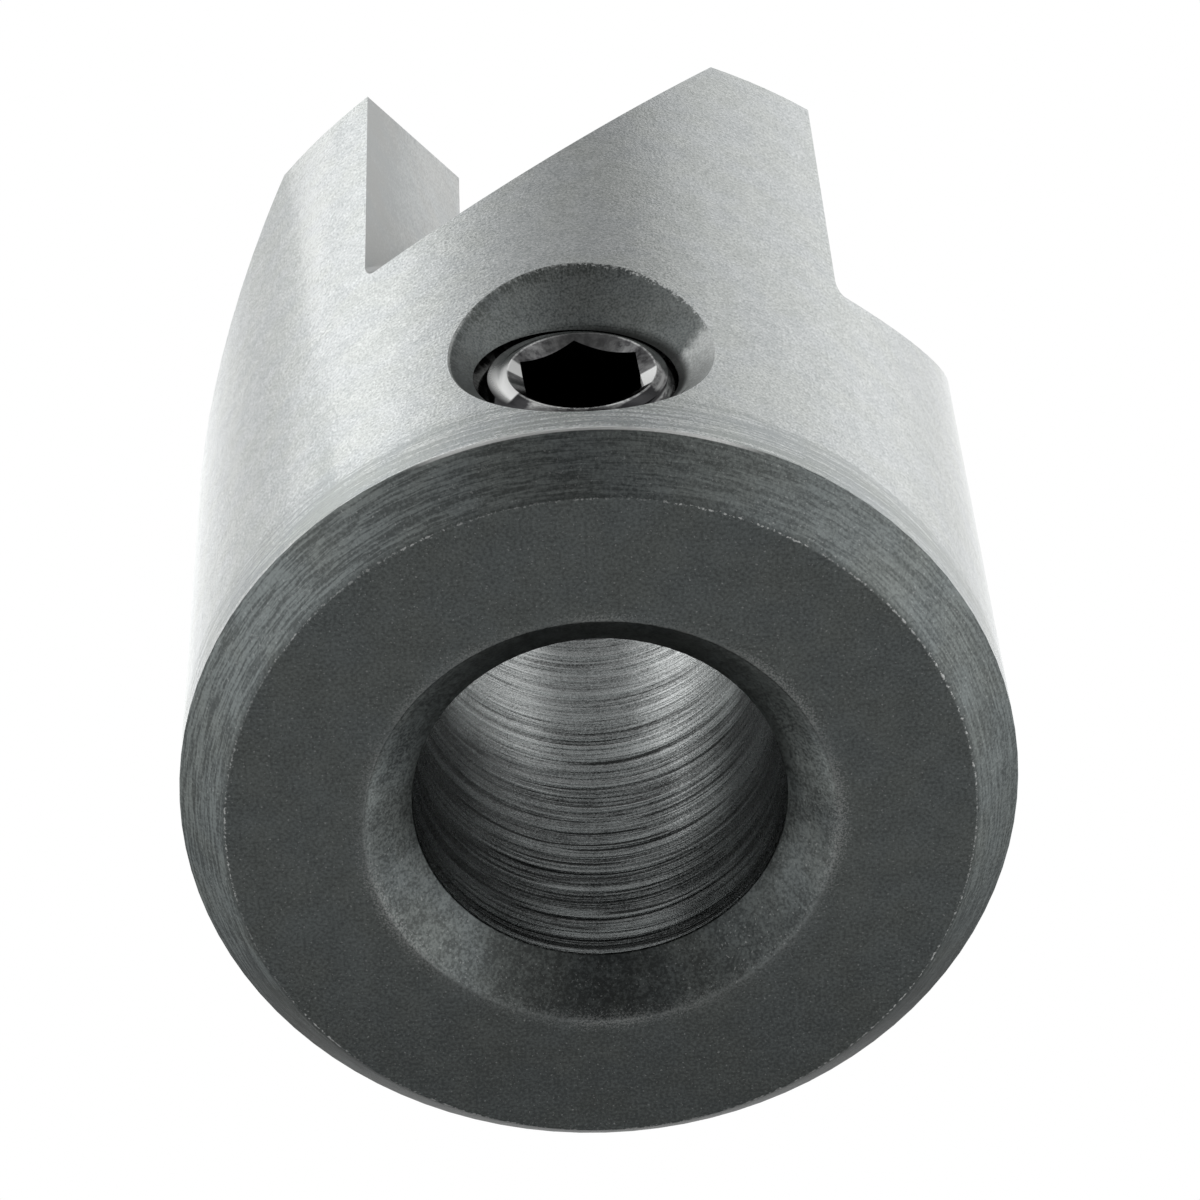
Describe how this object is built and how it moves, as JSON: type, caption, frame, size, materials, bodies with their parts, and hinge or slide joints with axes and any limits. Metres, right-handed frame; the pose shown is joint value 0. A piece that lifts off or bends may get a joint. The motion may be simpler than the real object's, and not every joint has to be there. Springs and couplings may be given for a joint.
{
  "type": "slip-on countersink",
  "caption": "Hollow countersink that slides on to a twist drill and is held by a grub screw; ground teeth round the bore cut a 90 degree chamfer.",
  "frame": {"origin": "centre of the flat back face, on the axis of the bore", "axes": "+Z along the bore toward the teeth, -Y out through the grub screw; right-hand cutting, which is anticlockwise seen from +Z"},
  "size_m": [0.018, 0.018, 0.0255],
  "materials": {
    "tool_steel": "ground bright on the wall and the teeth; blackened on the back face, both back chamfers and the mouth of the screw hole",
    "black_screw_steel": "black oxide, slightly glossy, with a bright rubbed rim"
  },
  "bodies": {
    "cutter": {"cutter_body": "tool_steel"},
    "clamp_screw": {"grub_screw": "black_screw_steel"}
  },
  "joints": [
    {"name": "screw_travel", "type": "slide", "parent": "cutter", "child": "clamp_screw", "axis": [0, 1, 0], "range_m": [-0.0008, 0.0016]}
  ]
}
